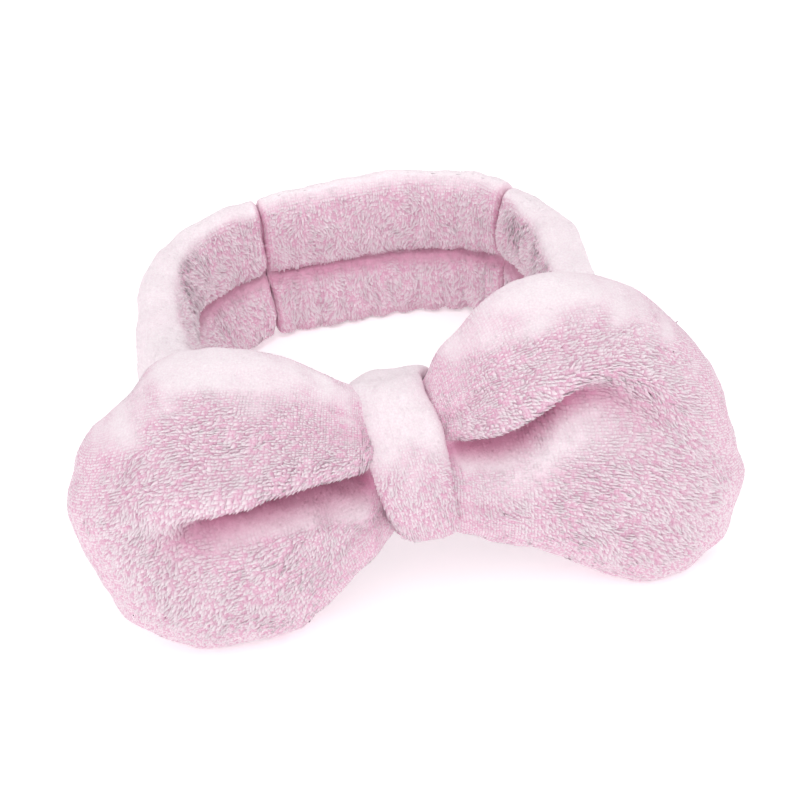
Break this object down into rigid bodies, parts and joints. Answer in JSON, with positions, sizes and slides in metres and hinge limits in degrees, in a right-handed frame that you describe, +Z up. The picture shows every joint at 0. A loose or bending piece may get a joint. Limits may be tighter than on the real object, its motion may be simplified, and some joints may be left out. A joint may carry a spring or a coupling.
{
  "type": "spa headband",
  "caption": "Soft plush loop that holds hair off the face, with a padded bow pinched by a wrap at its front and a gathered elastic back.",
  "frame": {"origin": "on the surface the headband stands on, in the middle of its footprint", "axes": "+X along the bow, towards its right lobe seen from the front; -Y out of the bow's front; +Z up, the way the loop's axis points as it stands on its lower edge"},
  "size_m": [0.1998, 0.1752, 0.0907],
  "materials": {
    "fleece": "long soft coral fleece pile, pale pink",
    "gathered_fleece": "the same fleece, gathered",
    "elastic": "flat woven elastic, off-white",
    "wadding": "loose polyester fibre filling",
    "thread": "spun polyester sewing thread, pink"
  },
  "bodies": {
    "front": {"front_sleeve": "fleece", "front_closing_seam": "thread", "knot_wrap": "fleece", "knot_stitches": "thread", "bow_waist": "gathered_fleece"},
    "back": {"back_sleeve": "gathered_fleece", "back_elastic": "elastic", "back_closing_seam": "thread", "left_join_seam": "gathered_fleece", "right_join_seam": "gathered_fleece"},
    "left_lobe": {"left_lobe_front_panel": "fleece", "left_lobe_back_panel": "fleece", "left_lobe_wadding": "wadding"},
    "right_lobe": {"right_lobe_front_panel": "fleece", "right_lobe_back_panel": "fleece", "right_lobe_wadding": "wadding"}
  },
  "joints": [
    {"name": "band_stretch", "type": "slide", "parent": "front", "child": "back", "axis": [0, 1, 0], "range_m": [-0.03, 0.035], "stiffness_N_per_m": 120, "deforming": ["front_sleeve", "front_closing_seam"]},
    {"name": "left_lobe_flex", "type": "hinge", "parent": "front", "child": "left_lobe", "pos_m": [-0.0198, -0.06306, 0.04398], "axis": [0, 0.309, 0.9511], "range_deg": [0, 35], "stiffness_Nm_per_rad": 0.02},
    {"name": "right_lobe_flex", "type": "hinge", "parent": "front", "child": "right_lobe", "pos_m": [0.0198, -0.06306, 0.04398], "axis": [0, 0.309, 0.9511], "range_deg": [-35, 0], "stiffness_Nm_per_rad": 0.02}
  ]
}
